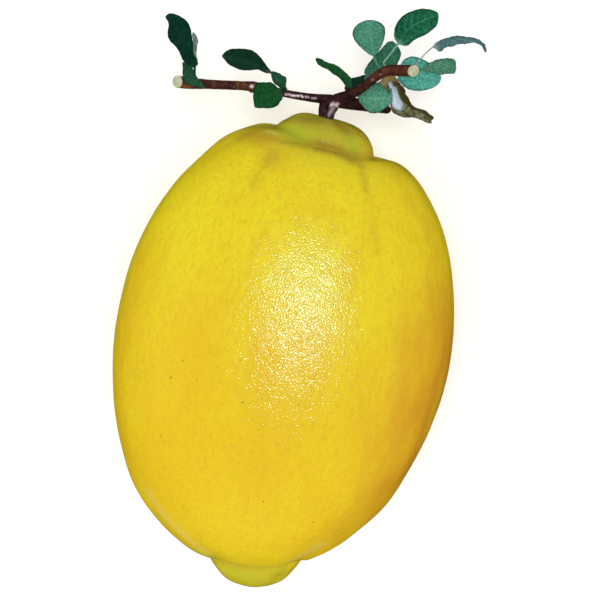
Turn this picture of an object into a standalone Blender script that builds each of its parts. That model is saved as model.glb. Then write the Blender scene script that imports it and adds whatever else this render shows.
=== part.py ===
"""A ripe lemon as picked, on its short leafy twig, lying on its side.

Metres, +Z up. The fruit's long axis runs along Y: its stem end is at +Y and its nipple at -Y.
The origin is the middle of the flattened patch of peel that the fruit rests on.
"""

import math

import bmesh
import bpy
from mathutils import Quaternion, Vector

MM = 0.001
UP = Vector((0.0, 0.0, 1.0))
GAP = 0.3 * MM  # between nodes that touch
CUT_TOLERANCE = 0.0001 * MM
WELD_DISTANCE = 0.001 * MM

# The fruit.
FRUIT_RADIUS = 38.7 * MM
STEM_HALF = 53.5 * MM  # from the middle to where a plain oval would close at the stem end
NIPPLE_HALF = 52.5 * MM  # the same at the nipple end
STEM_FULLNESS = 2.2  # 2 is an ellipse, and more is fuller
NIPPLE_FULLNESS = 2.0
REST_FLAT_DEPTH = 0.8 * MM
FRUIT_SEGMENTS = 48
FRUIT_RINGS = 36
AXIS_HEIGHT = FRUIT_RADIUS - REST_FLAT_DEPTH

# The low collar under the stalk and the blunt tip. Share is the part of the sphere that each
# takes, top is its distance from the fruit's middle, and slope tips it towards -X. Lean is how
# far the body's own end bends to +X. Furrows and dips are an angle round the axis and a depth.
NECK = {
    "share": math.radians(15), "radius": 12.0 * MM, "top": 53.9 * MM, "fullness": 2.1,
    "lean": 0.9 * MM, "middle_x": 0.7 * MM, "slope": -0.145,
    "crease": 2.4 * MM, "crease_width": 3.4 * MM,
    "furrows": ((-24, 1.6), (30, 1.2), (80, 1.4), (138, 1.2), (-168, 1.0), (-122, 1.2), (-74, 1.0)),
    "dips": ((9, 0.6), (62, 0.4), (118, 0.5), (175, 0.4), (-140, 0.5), (-70, 0.5)),
}
NIPPLE = {
    "share": math.radians(15), "radius": 10.8 * MM, "top": 57.2 * MM, "fullness": 1.9,
    "lean": -1.7 * MM, "middle_x": 4.0 * MM, "slope": -0.147,
    "crease": 1.1 * MM, "crease_width": 2.4 * MM,
    "furrows": ((-28, 0.5), (50, 0.8), (112, 0.5), (-165, 0.6), (-95, 0.4)),
    "dips": ((35, 0.3), (-150, 0.3)),
}
FURROW_WIDTH = math.radians(11)  # round the axis
FURROW_END = math.radians(62)  # how far from an end its furrows reach
TIP_REACH = 5.0 * MM  # how far beyond its crease a collar's slope carries into the body

# The twig. Each stem is its centre points from the free end, as x, y, height over the fruit's
# axis and diameter, in millimetres.
STEM_SIDES_SETTING = 4  # a curve's bevel resolution, which gives 12 sides
STEM_SMOOTHNESS = 3
STALK_LIFT = 0.25 * MM  # lets the foot clear the tipped collar
STALK_FOOT = (NECK["top"] + GAP + STALK_LIFT) / MM
STEMS = {
    "left_branch": (
        (-35.6, 56.2, 3.3, 3.0), (-32.0, 56.3, 3.0, 2.7), (-27.5, 56.8, 2.6, 2.2),
        (-19.7, 57.8, 2.0, 2.1), (-17.2, 58.1, 1.8, 2.4), (-15.4, 58.2, 1.6, 2.0),
        (-9.8, 57.8, 0.9, 1.8), (-4.5, 57.8, 0.4, 1.9), (1.2, 58.2, 0.0, 2.4),
    ),
    "right_branch": (
        (18.9, 69.0, 14.2, 2.7), (15.1, 68.2, 10.5, 2.6), (12.0, 67.4, 7.5, 2.5),
        (10.5, 66.2, 6.0, 2.3), (9.0, 64.4, 4.5, 2.1), (7.1, 62.2, 3.2, 2.1),
        (5.1, 60.4, 2.0, 2.4), (2.2, 58.5, 0.5, 2.8),
    ),
    "lower_branch": (
        (14.0, 57.8, -5.5, 2.0), (11.4, 58.0, -4.5, 2.5), (7.9, 58.0, -3.0, 2.8),
        (4.4, 58.0, -1.4, 3.0), (1.4, 58.2, 0.0, 3.0),
    ),
    "rear_stalk": (
        (-0.1, STALK_FOOT, -0.2, 2.2), (-0.5, 55.6, -0.3, 2.2), (0.0, 58.0, 0.0, 2.4),
    ),
    "front_stalk": (
        (1.1, STALK_FOOT, 0.5, 2.0), (1.4, 55.6, 0.9, 2.0), (1.8, 57.0, 1.0, 2.2),
        (2.0, 58.3, 0.5, 2.4),
    ),
}
# Slanting cuts at the free ends: a point on the cut and the way it faces.
CUTS = {
    "left_branch": ((-34.1, 56.1, 3.1), (-0.74, 0.0, 0.67)),
    "right_branch": ((17.7, 68.7, 13.0), (0.40, -0.05, 0.92)),
}
BUDS = (((-17.3, 57.3, 1.8), 0.7), ((4.0, 61.6, 1.9), 0.9))  # small knobs: place and radius

# The leaves. Angles are degrees: heading turns from +X towards +Y, rise is up from level, and
# roll turns the upper face away from +Z. Lengths are millimetres. A setting left out is as in
# PLAIN_LEAF.
LEAF_THICKNESS = 0.45 * MM
LEAF_STALK_WIDTH = 0.8 * MM
LEAF_TIP_WIDTH = 0.32 * MM
LEAF_COLUMNS = 4
LEAF_ROWS = 12
LEAF_STALK_ROWS = 3  # of these, how many are stalk
PLAIN_LEAF = {
    "stalk": 0.5, "stalk_heading": None, "rise": 10, "roll": 0, "widest": 0.5, "point": 0.75,
    "sweep": 0, "fold": 8, "curl": 20, "ends_at": 1.0, "colour": "leaf_green",
}
LEAVES = {
    "tall_leaf": {"base": (-29.9, 58.0, 3.4), "stalk": 2.4, "stalk_heading": 105, "heading": 128,
                  "rise": 15, "sweep": 24, "length": 13.7, "width": 4.5, "widest": 0.62,
                  "colour": "leaf_deep_green"},
    "edge_on_leaf": {"base": (-30.4, 57.9, 1.9), "stalk": 2.3, "heading": 103, "rise": -8,
                     "roll": 80, "length": 7.8, "width": 1.7},
    "left_end_leaf": {"base": (-28.2, 55.6, 4.3), "heading": 136, "rise": 21, "length": 7.0,
                      "width": 3.4},
    "long_stalked_leaf": {"base": (-10.1, 59.4, 1.3), "stalk": 4.4, "stalk_heading": 140,
                          "heading": 170, "rise": 12, "sweep": 36, "length": 12.3, "width": 4.7,
                          "widest": 0.6, "colour": "leaf_deep_green"},
    "small_bright_leaf": {"base": (-9.1, 59.0, 2.0), "stalk": 0.9, "stalk_heading": 117,
                          "heading": 140, "rise": 18, "length": 4.9, "width": 2.6},
    "front_leaf": {"base": (-10.5, 59.2, 3.5), "stalk": 0.7, "heading": -135, "rise": 16,
                   "length": 7.2, "width": 6.0, "widest": 0.45, "point": 0.55},
    "narrow_leaf": {"base": (4.4, 62.4, 3.1), "stalk": 0.8, "heading": 149, "rise": 9,
                    "roll": 68, "length": 8.9, "width": 2.9},
    "shaded_leaf": {"base": (4.9, 62.2, 0.9), "heading": 37, "rise": -19, "length": 4.8,
                    "width": 2.5, "colour": "leaf_deep_green"},
    "tall_pale_leaf": {"base": (10.0, 68.0, 7.4), "stalk": 2.5, "stalk_heading": 131,
                       "heading": 113, "rise": 14, "roll": 180, "length": 8.7, "width": 7.5,
                       "widest": 0.6, "point": 0.6, "colour": "leaf_pale"},
    "top_leaf": {"base": (11.0, 69.2, 7.6), "stalk": 5.0, "stalk_heading": 61, "heading": 47,
                 "rise": 10, "sweep": -40, "length": 11.5, "width": 6.9, "widest": 0.48,
                 "point": 0.6},
    "broad_rear_leaf": {"base": (7.9, 65.4, 3.0), "stalk": 0.8, "heading": 62, "rise": -15,
                        "length": 9.2, "width": 6.3, "widest": 0.5, "point": 0.6,
                        "colour": "leaf_deep_green"},
    "arching_leaf": {"base": (18.2, 70.3, 11.2), "stalk": 5.3, "stalk_heading": 62, "heading": 2,
                     "rise": -20, "roll": 60, "length": 13.8, "width": 2.8, "sweep": -84},
    "right_end_leaf": {"base": (19.2, 69.2, 11.2), "heading": 14, "rise": -19, "length": 7.9,
                       "width": 3.6, "widest": 0.6, "point": 0.6, "ends_at": 0.9},
    "round_pale_leaf": {"base": (14.0, 68.1, 6.8), "heading": -3, "rise": -20, "roll": 180,
                        "length": 10.4, "width": 7.9, "point": 0.5, "colour": "leaf_pale"},
    "veined_pale_leaf": {"base": (6.8, 59.8, 1.2), "heading": 3, "rise": 12, "roll": 180,
                         "length": 7.5, "width": 6.7, "point": 0.5, "colour": "leaf_pale"},
    "withered_leaf": {"base": (12.6, 65.7, 5.4), "stalk": 1.0, "heading": -34, "rise": -28,
                      "sweep": 54, "length": 16.6, "width": 6.5, "widest": 0.3, "fold": 20,
                      "curl": 70, "colour": "leaf_withered"},
}

# Base colour, roughness.
FINISHES = {
    "peel": ((0.80, 0.55, 0.02), 0.38),
    "bark": ((0.07, 0.02, 0.015), 0.45),
    "leaf_green": ((0.02, 0.13, 0.05), 0.5),
    "leaf_deep_green": ((0.006, 0.05, 0.025), 0.45),
    "leaf_pale": ((0.10, 0.33, 0.22), 0.6),
    "leaf_withered": ((0.16, 0.14, 0.05), 0.75),
}


def clear_scene():
    for item in list(bpy.data.objects):
        bpy.data.objects.remove(item, do_unlink=True)


def new_collection(name):
    collection = bpy.data.collections.new(name)
    bpy.context.scene.collection.children.link(collection)
    return collection


def make_materials():
    materials = {}
    for name, (colour, roughness) in FINISHES.items():
        material = bpy.data.materials.new(name)
        material.use_nodes = True
        shader = material.node_tree.nodes["Principled BSDF"]
        shader.inputs["Base Color"].default_value = (*colour, 1.0)
        shader.inputs["Roughness"].default_value = roughness
        shader.inputs["Metallic"].default_value = 0.0
        materials[name] = material
    return materials


def object_from(bm, name, collection, material=None):
    """A smooth-shaded object that holds the bmesh."""
    mesh = bpy.data.meshes.new(name)
    bm.to_mesh(mesh)
    bm.free()
    mesh.shade_smooth()
    if material:
        mesh.materials.append(material)
    item = bpy.data.objects.new(name, mesh)
    collection.objects.link(item)
    return item


def over_axis(point):
    """A point given in millimetres, with its height over the fruit's axis, in metres."""
    return Vector((point[0] * MM, point[1] * MM, point[2] * MM + AXIS_HEIGHT))


def smooth_step(value):
    value = max(0.0, min(1.0, value))
    return value * value * (3.0 - 2.0 * value)


def dents(around, dent_list, width):
    """How deep the furrows or dips in the list are at an angle round the axis."""
    depth = 0.0
    for degrees, deepest in dent_list:
        turn = math.remainder(around - math.radians(degrees), 2 * math.pi)
        depth += deepest * MM * math.exp(-((turn / width) ** 2))
    return depth


def fruit_point(direction):
    """The point of the fruit that a unit sphere's point becomes, from the fruit's middle.

    The oval body is a superellipse turned round Y. At each end a domed collar sits in a
    crease, tipped and off centre, and furrows run from the crease along the body.
    """
    at_stem = direction.y >= 0.0
    end = NECK if at_stem else NIPPLE
    half = STEM_HALF if at_stem else NIPPLE_HALF
    fullness = STEM_FULLNESS if at_stem else NIPPLE_FULLNESS
    polar = math.acos(min(1.0, abs(direction.y)))
    around = math.atan2(direction.x, direction.z)
    rim = math.asin(end["radius"] / FRUIT_RADIUS)
    quarter = math.pi / 2

    if polar < end["share"]:
        turn = rim
        dome = polar / end["share"] * quarter
        radius = end["radius"] * math.sin(dome) ** (2 / end["fullness"])
        rise = max(0.0, math.cos(dome)) ** (2 / end["fullness"])
        beyond = 0.0
    else:
        turn = rim + (polar - end["share"]) / (quarter - end["share"]) * (quarter - rim)
        radius = FRUIT_RADIUS * math.sin(turn)
        rise = 0.0
        beyond = radius - end["radius"]

    fade = smooth_step((FURROW_END - turn) / (FURROW_END - rim))
    furrow = dents(around, end["furrows"], FURROW_WIDTH) * fade
    along = half * max(0.0, math.cos(turn)) ** (2 / fullness)
    along -= end["crease"] * math.exp(-((beyond / end["crease_width"]) ** 2))
    along -= furrow * math.cos(turn)
    along += (end["top"] - along) * rise
    radius -= furrow * math.sin(turn) * (1.0 - rise)
    radius -= dents(around, end["dips"], 2 * FURROW_WIDTH) * 4 * rise * (1.0 - rise)

    near = math.exp(-((beyond / TIP_REACH) ** 2))
    across = radius * math.sin(around)
    along += end["slope"] * across * near * (1.0 - rise)
    lean = end["lean"] * (along / half) ** 3
    return Vector((
        across + lean + end["middle_x"] * near,
        along if at_stem else -along,
        radius * math.cos(around),
    ))


def make_lemon(collection, material):
    bm = bmesh.new()
    bmesh.ops.create_uvsphere(bm, u_segments=FRUIT_SEGMENTS, v_segments=FRUIT_RINGS, radius=1.0)
    pole_to_y = Quaternion((1.0, 0.0, 0.0), -math.pi / 2)
    for vert in bm.verts:
        vert.co = fruit_point(pole_to_y @ vert.co.normalized())
        vert.co.z += AXIS_HEIGHT
    cut = bmesh.ops.bisect_plane(
        bm, geom=bm.verts[:] + bm.edges[:] + bm.faces[:], dist=CUT_TOLERANCE,
        plane_co=(0.0, 0.0, 0.0), plane_no=-UP, clear_outer=True,
    )
    rim_edges = [part for part in cut["geom_cut"] if isinstance(part, bmesh.types.BMEdge)]
    bmesh.ops.holes_fill(bm, edges=rim_edges)
    bmesh.ops.recalc_face_normals(bm, faces=bm.faces[:])
    return object_from(bm, "lemon", collection, material)


def make_stem(name, points, collection):
    """A tapering round stem along the points, as a closed mesh."""
    curve = bpy.data.curves.new(name, "CURVE")
    curve.dimensions = "3D"
    curve.bevel_depth = 1.0
    curve.bevel_resolution = STEM_SIDES_SETTING
    curve.resolution_u = STEM_SMOOTHNESS
    curve.use_fill_caps = True
    spline = curve.splines.new("BEZIER")
    spline.bezier_points.add(len(points) - 1)
    for bezier, (x, y, height, diameter) in zip(spline.bezier_points, points):
        bezier.co = over_axis((x, y, height))
        bezier.radius = diameter / 2 * MM
        bezier.handle_left_type = "AUTO"
        bezier.handle_right_type = "AUTO"
    guide = bpy.data.objects.new(name + "_guide", curve)
    collection.objects.link(guide)
    bpy.context.view_layer.update()
    graph = bpy.context.evaluated_depsgraph_get()
    mesh = bpy.data.meshes.new_from_object(guide.evaluated_get(graph))
    bm = bmesh.new()
    bm.from_mesh(mesh)
    bpy.data.meshes.remove(mesh)
    bmesh.ops.transform(bm, matrix=guide.matrix_world, verts=bm.verts[:])
    bpy.data.objects.remove(guide, do_unlink=True)
    bmesh.ops.remove_doubles(bm, verts=bm.verts[:], dist=WELD_DISTANCE)
    if name in CUTS:
        place, facing = CUTS[name]
        cut = bmesh.ops.bisect_plane(
            bm, geom=bm.verts[:] + bm.edges[:] + bm.faces[:], dist=CUT_TOLERANCE,
            plane_co=over_axis(place), plane_no=Vector(facing), clear_outer=True,
        )
        rim_edges = [part for part in cut["geom_cut"] if isinstance(part, bmesh.types.BMEdge)]
        bmesh.ops.holes_fill(bm, edges=rim_edges)
    bmesh.ops.recalc_face_normals(bm, faces=bm.faces[:])
    return object_from(bm, name, collection)


def make_bud(index, place, radius, collection):
    bm = bmesh.new()
    bmesh.ops.create_icosphere(bm, subdivisions=2, radius=radius * MM)
    bmesh.ops.translate(bm, vec=over_axis(place), verts=bm.verts[:])
    return object_from(bm, f"bud_{index}", collection)


def make_twig(collection, joined, material):
    """The woody twig is one grown piece, so its stems and buds are joined in one solid."""
    pieces = [make_stem(name, points, joined) for name, points in STEMS.items()]
    for index, (place, radius) in enumerate(BUDS):
        pieces.append(make_bud(index, place, radius, joined))
    twig = pieces[0]
    joined.objects.unlink(twig)
    collection.objects.link(twig)
    twig.name = "twig"
    twig.data.materials.append(material)
    for piece in pieces[1:]:
        piece.hide_render = True
        piece.display_type = "WIRE"
        union = twig.modifiers.new(piece.name, "BOOLEAN")
        union.operation = "UNION"
        union.solver = "EXACT"
        union.object = piece
    return twig


def heading_vector(heading, rise):
    heading = math.radians(heading)
    rise = math.radians(rise)
    return Vector((
        math.cos(heading) * math.cos(rise), math.sin(heading) * math.cos(rise), math.sin(rise),
    ))


def leaf_midrib(leaf):
    """Points and directions along a leaf's stalk and midrib, with each row's share of the
    blade, which is below 0 on the stalk."""
    heading = leaf["heading"]
    stalk_heading = heading if leaf["stalk_heading"] is None else leaf["stalk_heading"]
    blade_rows = LEAF_ROWS - LEAF_STALK_ROWS
    place = over_axis(leaf["base"])
    rows = []
    for index in range(LEAF_ROWS + 1):
        share = (index - LEAF_STALK_ROWS) / blade_rows
        if share < 0.0:
            turn = smooth_step((index + 0.5) / (LEAF_STALK_ROWS + 1))
            blade_start = heading - leaf["sweep"] / 2
            way = heading_vector(stalk_heading + (blade_start - stalk_heading) * turn, leaf["rise"])
            step = leaf["stalk"] * MM / LEAF_STALK_ROWS
        else:
            way = heading_vector(heading + leaf["sweep"] * (share - 0.5), leaf["rise"])
            step = leaf["length"] * MM / blade_rows
        rows.append((place.copy(), way, share))
        place += way * step
    return rows


def leaf_half_width(leaf, share):
    least = LEAF_STALK_WIDTH + (LEAF_TIP_WIDTH - LEAF_STALK_WIDTH) * max(share, 0.0)
    if share <= 0.0:
        return least / 2
    skew = math.log(0.5) / math.log(leaf["widest"])
    reach = min(share * leaf["ends_at"], 0.999)
    blade = leaf["width"] / 2 * MM * math.sin(math.pi * reach**skew) ** leaf["point"]
    return max(least / 2, blade)


def leaf_side(leaf, half_width, across):
    """Offsets sideways and upwards of a point at -1 to 1 across the blade, which is folded
    along its midrib and curled towards its edges."""
    fold = math.radians(leaf["fold"])
    curl = math.radians(leaf["curl"])
    bend = fold + curl * abs(across)
    sideways = (math.sin(bend) - math.sin(fold)) / curl
    upwards = (math.cos(fold) - math.cos(bend)) / curl
    return math.copysign(sideways, across) * half_width, upwards * half_width


def make_leaf(name, changes, collection, materials):
    leaf = {**PLAIN_LEAF, **changes}
    rows = leaf_midrib(leaf)
    bm = bmesh.new()
    grid = bmesh.ops.create_grid(bm, x_segments=LEAF_ROWS, y_segments=LEAF_COLUMNS, size=1.0)
    for vert in grid["verts"]:
        index = round((vert.co.x + 1.0) / 2.0 * LEAF_ROWS)
        across = vert.co.y
        place, way, share = rows[index]
        side = way.cross(UP).normalized()
        face = side.cross(way)
        turn = Quaternion(way, math.radians(leaf["roll"]))
        half_width = leaf_half_width(leaf, share)
        sideways, upwards = leaf_side(leaf, half_width, across)
        vert.co = place + turn @ (side * sideways + face * upwards)
    bmesh.ops.recalc_face_normals(bm, faces=bm.faces[:])
    item = object_from(bm, name, collection, materials[leaf["colour"]])
    wall = item.modifiers.new("thickness", "SOLIDIFY")
    wall.thickness = LEAF_THICKNESS
    wall.offset = 0.0
    return item


def main():
    clear_scene()
    lemon_parts = new_collection("lemon_on_twig")
    joined_shapes = new_collection("joined_shapes")
    materials = make_materials()
    make_lemon(lemon_parts, materials["peel"])
    make_twig(lemon_parts, joined_shapes, materials["bark"])
    for name, changes in LEAVES.items():
        make_leaf(name, changes, lemon_parts, materials)


main()
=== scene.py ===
"""One ripe lemon as picked, lying on its side with its short leafy twig.

The peel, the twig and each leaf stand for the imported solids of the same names. They follow the
same shapes with finer meshes, and add the relief and the finish. Metres, +Z up.
"""

import math

import bmesh
import bpy
from mathutils import Matrix, Quaternion, Vector, noise
from mathutils.bvhtree import BVHTree
from mathutils.kdtree import KDTree


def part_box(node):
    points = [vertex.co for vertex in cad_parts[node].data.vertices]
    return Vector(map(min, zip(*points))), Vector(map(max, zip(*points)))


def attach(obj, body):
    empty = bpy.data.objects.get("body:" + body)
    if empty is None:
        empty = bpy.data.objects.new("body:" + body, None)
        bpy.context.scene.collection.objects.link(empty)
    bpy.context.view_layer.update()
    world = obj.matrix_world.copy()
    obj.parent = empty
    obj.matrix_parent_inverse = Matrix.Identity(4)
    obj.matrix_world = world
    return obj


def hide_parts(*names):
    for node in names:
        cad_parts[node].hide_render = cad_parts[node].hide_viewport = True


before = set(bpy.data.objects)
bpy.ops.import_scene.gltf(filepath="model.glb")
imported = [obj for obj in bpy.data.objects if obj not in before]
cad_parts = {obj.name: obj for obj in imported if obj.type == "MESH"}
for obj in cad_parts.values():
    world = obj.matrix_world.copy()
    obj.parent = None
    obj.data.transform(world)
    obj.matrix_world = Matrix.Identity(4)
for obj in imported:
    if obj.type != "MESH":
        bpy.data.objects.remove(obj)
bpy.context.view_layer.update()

MM = 0.001
UP = Vector((0.0, 0.0, 1.0))
QUARTER = math.pi / 2

# ---------------------------------------------------------------- the fruit's shape
FRUIT_RADIUS = 38.7 * MM
STEM_HALF = 53.5 * MM
NIPPLE_HALF = 52.5 * MM
STEM_FULLNESS = 2.2
NIPPLE_FULLNESS = 2.0
AXIS_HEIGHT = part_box("lemon")[1].z - FRUIT_RADIUS
PEEL_SEGMENTS = 384
PEEL_RINGS = 256

# The two ends. Each takes a share of the mesh and rises from a rim of a radius to its top, with
# a crease round it. It leans and slopes to one side. Its furrows and dips are given in degrees
# round the axis and millimetres deep.
NECK = {
    "share": math.radians(15), "radius": 12.0 * MM, "top": 53.9 * MM, "fullness": 2.1,
    "lean": 0.9 * MM, "middle_x": 0.7 * MM, "slope": -0.145,
    "crease": 2.2 * MM, "crease_width": 3.6 * MM,
    "furrows": ((-26, 1.1), (31, 1.2), (84, 0.6), (138, 1.0), (-168, 0.9), (-122, 1.0), (-76, 0.4)),
    "dips": ((12, 0.45), (66, 0.15), (118, 0.3), (175, 0.3), (-140, 0.3), (-62, 0.15)),
}
NIPPLE = {
    "share": math.radians(15), "radius": 10.8 * MM, "top": 57.2 * MM, "fullness": 1.9,
    "lean": -1.7 * MM, "middle_x": 4.0 * MM, "slope": -0.147,
    "crease": 1.1 * MM, "crease_width": 2.4 * MM,
    "furrows": ((-28, 0.5), (50, 0.8), (112, 0.5), (-165, 0.6), (-95, 0.4)),
    "dips": ((35, 0.3), (-150, 0.3)),
}
FURROW_WIDTH = math.radians(13)
FURROW_END = math.radians(62)
# How far round an end its slope and its shift to one side are felt.
TIP_REACH = 5.0 * MM
# The painted shade along the crease: how far out it lies, its width, and how soon it ends upwards.
CREASE_LINE_AT = 0.2 * MM
CREASE_LINE_WIDTH = 0.9 * MM
CREASE_LINE_RISE = 0.15
# Half the stretch of the axis that swells and hollows point away from.
CORE_HALF = 20 * MM
# Past this many widths a swell or a brushed stroke is too weak to count.
FADED = 2.5
# Where the fruit swells or sinks: a place over its axis, the spread and the height, in mm.
SWELLS = (
    (-21.5, 45.5, 0.0, 5.0, 0.75), (-14.5, 49.2, 0.0, 3.0, -0.4), (-4.8, 54.0, -1.0, 3.6, 0.75),
    (-9.8, 52.0, -1.0, 2.8, -0.8), (14.8, 46.4, 0.0, 4.0, -0.5), (16.0, 47.2, -8.5, 6.5, -1.25),
    (37.0, 18.0, 0.0, 13.0, -0.25), (36.5, -14.0, 2.0, 12.0, -0.70), (33.6, -23.5, 5.0, 8.0, -0.4),
    (12.6, 49.6, -2.0, 3.0, -0.5), (26.0, -37.6, 5.0, 5.0, -0.45), (-28.0, -36.5, 6.0, 8.0, 0.45),
    (-6.8, -53.6, 3.0, 2.4, -0.9), (12.0, -51.0, 2.5, 2.4, -0.9),
)

# Relief of the peel: broad lumps, small lumps and oil pits, as a spacing and a height.
BROAD_LUMPS = (16 * MM, 0.16 * MM)
SMALL_LUMPS = (5 * MM, 0.05 * MM)
OIL_PITS = (1.9 * MM, 0.03 * MM)
# A pit's width as a share of the spacing.
PIT_WIDTH = 0.30
# Finer relief, which only the gloss shows: a spacing and a share of the height below.
GLOSS_DOMES = (0.42 * MM, -0.75)
GLOSS_GRAIN = (0.46 * MM, 1.05)
GLOSS_RIPPLES = (3.2 * MM, 1.5)
GLOSS_RELIEF = 0.104 * MM

# Tiny dark specks: a place over the axis and a radius, in mm.
SPECKS = (
    (-0.9, 17.3, 37.0, 0.16), (-18.5, 41.3, 17.1, 0.14), (-20.8, -1.2, 32.6, 0.15),
    (-22.9, -5.7, 30.9, 0.20), (-16.9, -4.5, 34.7, 0.13), (-8.4, 2.2, 37.8, 0.12),
    (-6.3, -6.9, 37.8, 0.15), (5.7, -4.9, 38.1, 0.13), (-22.9, -19.8, 27.7, 0.17),
    (-15.4, -35.4, 24.3, 0.14), (2.0, -29.1, 32.1, 0.16), (9.5, -26.7, 31.9, 0.13),
    (13.7, -33.0, 26.6, 0.15), (20.2, -30.7, 23.7, 0.14), (20.8, -36.8, 17.0, 0.18),
    (4.1, -45.7, 18.3, 0.15),
)
# Brushed lines that colour the peel near its ends and on its riper side. The brown lines along the
# creases and furrows of both ends are painted shade, with real brown spots by the stalk among them,
# and the pale streaks near the ends are a painted sheen. Each starts at a place over the axis and
# goes on to others, each given with its stroke's width and strength, in mm.
PEEL_STROKES = {
    # Painted shade along the creases and furrows, and real brown spots by the stalk.
    "crease_shade_and_brown_spots": (
        ((-7.8, 48.1, 13.9), (0.2, 48.7, 12.1, 1.2, 0.50), (4.8, 48.0, 11.3, 1.6, 0.75),
         (8.5, 46.8, 9.5, 1.5, 0.55)),
        ((-6.3, 47.5, 14.5), (-3.1, 48.0, 15.7, 1.3, 0.30), (-0.1, 48.4, 16.7, 1.4, 0.62),
         (3.8, 48.1, 16.5, 1.7, 0.85), (7.6, 47.0, 16.1, 1.6, 0.65),
         (10.3, 46.2, 15.7, 1.2, 0.30)),
        ((-15.8, 47.4, 7.0), (-11.0, 48.6, 12.6, 1.8, 0.28), (-7.8, 48.1, 13.9, 1.3, 0.35)),
        ((9.5, 46.4, 15.5), (11.8, 41.5, 21.5, 1.1, 0.40), (16.6, 29.6, 28.6, 1.2, 0.16)),
        ((-9.2, 45.5, 17.4), (-12.5, 38.5, 23.5, 1.7, 0.22)),
        ((-3.4, 53.3, 5.4), (-1.5, 53.6, 4.6, 2.2, 0.50)),
        ((3.6, 53.1, 5.4), (5.4, 52.5, 6.4, 1.9, 0.62)),
        ((7.9, 52.1, 5.6), (8.4, 51.9, 5.0, 0.5, 0.45)),
        ((6.5, 52.8, 3.0), (12.2, 48.6, 3.0, 1.2, 0.45)),
        ((-12.2, -47.8, 6.0), (-7.7, -48.9, 11.2, 0.9, 0.25), (-1.5, -49.2, 12.6, 0.9, 0.32),
         (5.0, -49.0, 11.9, 0.9, 0.36), (12.5, -46.5, 9.8, 0.9, 0.55),
         (14.6, -46.4, 3.5, 1.0, 0.25)),
        ((7.5, -51.6, 7.9), (9.6, -51.0, 6.0, 1.1, 0.35)),
    ),
    "green_tint": (
        ((-8.1, 50.1, 7.2), (-4.0, 50.0, 9.8, 2.2, 1.0), (-1.0, 50.4, 10.5, 1.6, 0.60)),
        ((7.1, 50.6, 8.3), (8.3, 48.9, 8.9, 1.7, 0.90)),
        ((7.0, 48.8, 10.0), (5.6, 49.3, 10.4, 1.1, 0.35)),
        ((-2.0, -52.0, 9.4), (2.0, -52.6, 9.2, 1.8, 0.35)),
        ((8.8, -49.8, 8.2), (11.0, -47.5, 8.4, 1.5, 0.45)),
        ((-24.0, 41.5, 0.0), (-17.0, 47.0, 0.0, 2.5, 0.30)),
        ((12.5, 49.0, 0.0), (22.0, 42.5, 0.0, 1.6, 0.35)),
        ((-9.0, -48.0, 9.0), (-22.0, -42.0, 0.0, 4.0, 0.25)),
    ),
    "orange_tint": (
        ((-16.0, 46.6, 7.0), (-11.4, 47.6, 14.0, 2.4, 0.55)),
        ((-10.0, 46.6, 15.6), (-11.0, 44.0, 18.5, 2.0, 0.30)),
        ((1.0, 47.4, 15.0), (8.0, 46.0, 14.0, 1.8, 0.35)),
        ((14.0, 46.6, 10.0), (18.0, 44.0, 12.0, 2.2, 0.30)),
        ((20.0, -36.0, 19.0), (27.0, -24.0, 22.0, 6.0, 0.30)),
    ),
    # Painted sheen: pale streaks where the gloss shows near the ends.
    "painted_sheen": (
        ((-12.2, 49.4, 8.8), (-10.2, 49.6, 10.8, 0.8, 0.45)),
        ((-23.6, -36.0, 16.2), (-14.6, -43.6, 16.5, 2.0, 0.26), (-9.0, -47.2, 13.4, 1.8, 0.28)),
        ((11.0, -45.6, 14.0), (16.5, -40.6, 17.0, 2.0, 0.30)),
    ),
}
# No brushed line reaches the peel inside these distances.
STROKES_BEYOND_Y = 26 * MM
STROKES_BEYOND_X = 18 * MM
# The colour of each brush. The brown one paints shade as well as spots, and the pale one paints
# sheen.
PEEL_TINTS = {
    "orange_tint": (0.50, 0.27, 0.006), "green_tint": (0.36, 0.42, 0.012),
    "crease_shade_and_brown_spots": (0.24, 0.135, 0.012), "painted_sheen": (0.64, 0.58, 0.20),
}

# ---------------------------------------------------------------- the twig's shape
STALK_FOOT = 52.5
# Places over the fruit's axis along each stem, with its diameter there, in mm. The branches start
# at their free ends.
STEMS = {
    "left_branch": (
        (-35.6, 56.2, 3.3, 3.0), (-32.0, 56.3, 3.0, 2.7), (-27.5, 56.8, 2.6, 2.2),
        (-19.7, 57.8, 2.0, 2.1), (-17.2, 58.1, 1.8, 2.4), (-15.4, 58.2, 1.6, 2.0),
        (-9.8, 57.8, 0.9, 1.8), (-4.5, 57.8, 0.4, 1.9), (1.2, 58.2, 0.0, 2.4),
    ),
    "right_branch": (
        (18.9, 69.0, 14.2, 2.7), (15.1, 68.2, 10.5, 2.6), (12.0, 67.4, 7.5, 2.5),
        (10.5, 66.2, 6.0, 2.3), (9.0, 64.4, 4.5, 2.1), (7.1, 62.2, 3.2, 2.1),
        (5.1, 60.4, 2.0, 2.4), (2.2, 58.5, 0.5, 2.8),
    ),
    "lower_branch": (
        (14.7, 57.8, -5.7, 0.9), (14.1, 57.8, -5.5, 1.9), (12.6, 58.0, -5.0, 2.5),
        (7.9, 58.0, -3.0, 2.8), (4.4, 58.0, -1.4, 3.0), (1.4, 58.2, 0.0, 3.0),
    ),
    "rear_stalk": (
        (-0.2, STALK_FOOT, -0.2, 2.7), (-0.3, 54.6, -0.2, 2.2), (-0.5, 55.6, -0.3, 2.2),
        (0.0, 58.0, 0.0, 2.4),
    ),
    "front_stalk": (
        (1.2, STALK_FOOT, 0.5, 2.5), (1.2, 54.6, 0.6, 2.0), (1.4, 55.6, 0.9, 2.0),
        (1.8, 57.0, 1.0, 2.2), (2.0, 58.3, 0.5, 2.4),
    ),
}
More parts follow.
